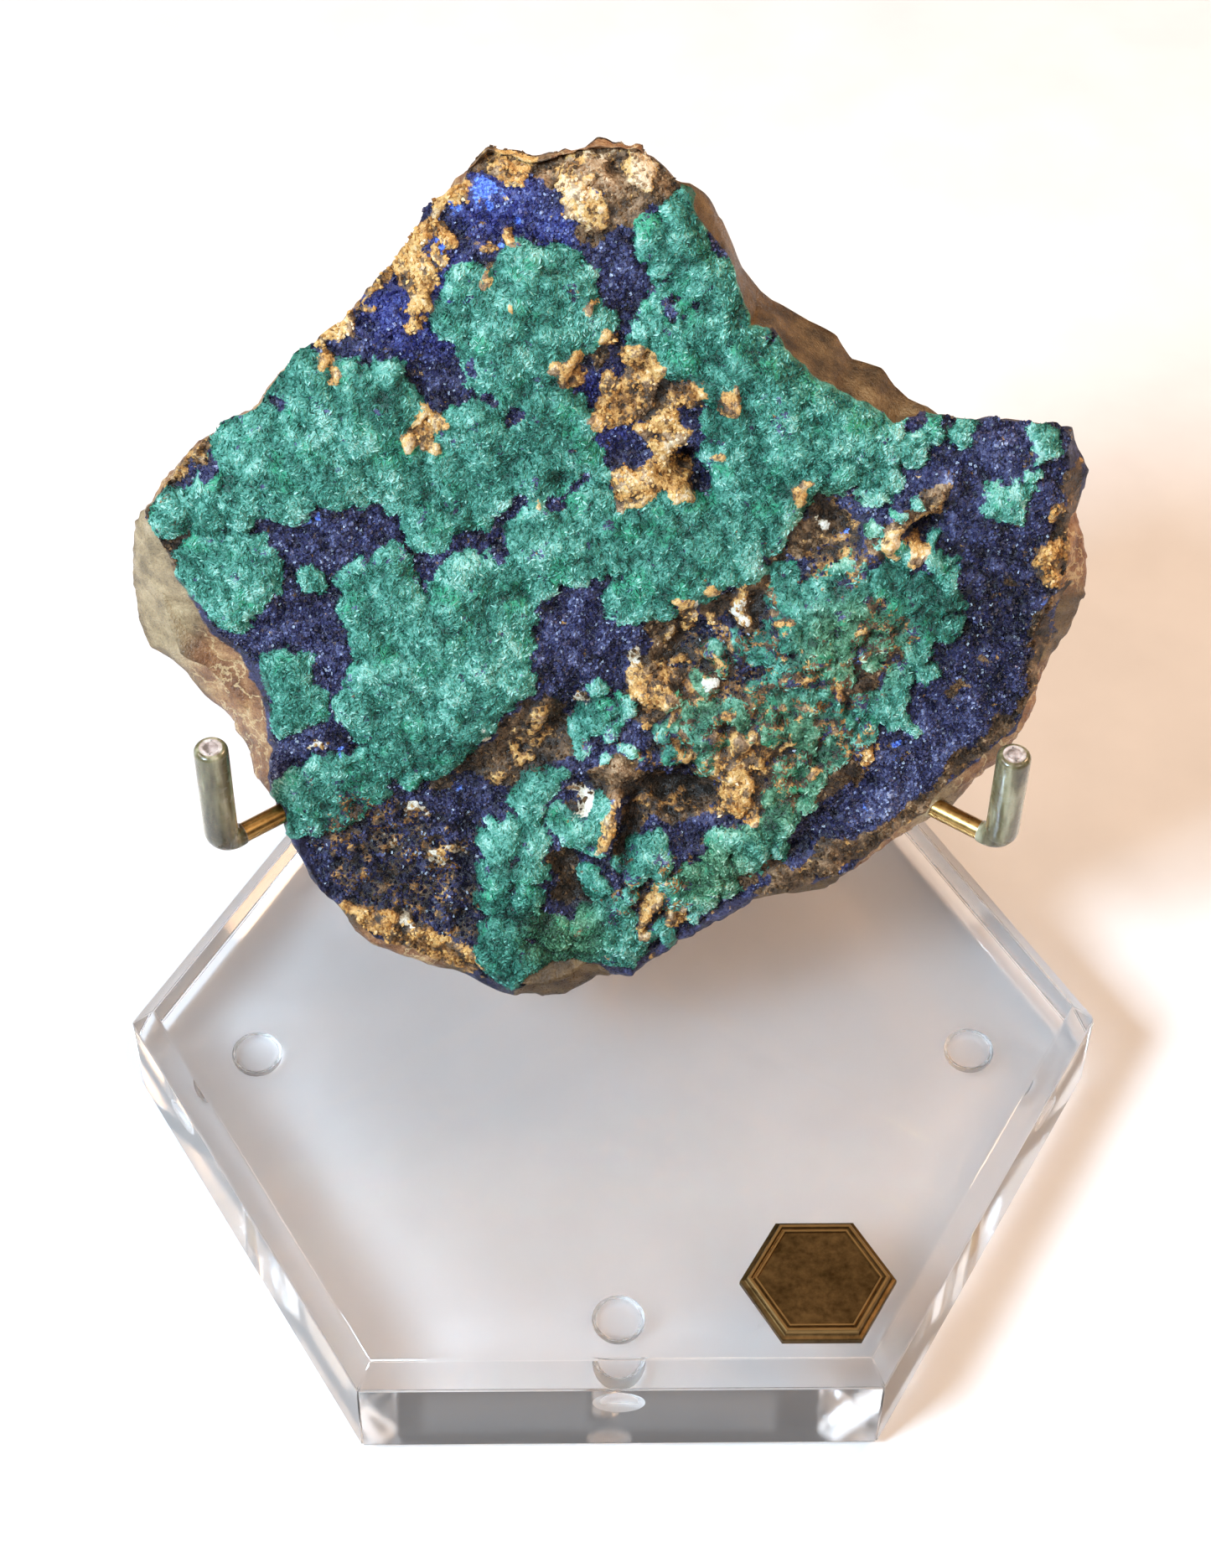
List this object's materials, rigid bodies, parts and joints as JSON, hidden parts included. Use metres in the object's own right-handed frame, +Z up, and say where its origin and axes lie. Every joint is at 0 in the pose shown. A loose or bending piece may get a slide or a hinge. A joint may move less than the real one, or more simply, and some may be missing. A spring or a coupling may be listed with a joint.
{
  "type": "azurite and malachite specimen on display stand",
  "caption": "Ragged slab of azurite and malachite on brown matrix, leaning on a hooked brass holder above a bevelled clear six-sided base.",
  "frame": {"origin": "on the table, under the middle of the six-sided base", "axes": "+Z up, -Y towards the viewer that the specimen's face is turned to, +X to that viewer's right"},
  "size_m": [0.1524, 0.132, 0.1517],
  "materials": {
    "mineral": "drusy",
    "acrylic": "polished clear",
    "brass": "brushed",
    "aged_brass": "antique",
    "vinyl": "satin",
    "silicone": "clear"
  },
  "bodies": {
    "root": {"specimen": "mineral", "acrylic_base": "acrylic", "foot_front": "silicone", "foot_right": "silicone", "foot_back": "silicone", "foot_left": "silicone", "badge": "aged_brass", "post": "brass", "hub": "brass", "arm_left": "brass", "arm_right": "brass", "back_prong": "brass", "sleeve_left": "vinyl", "sleeve_right": "vinyl", "sleeve_back": "vinyl"}
  },
  "joints": []
}
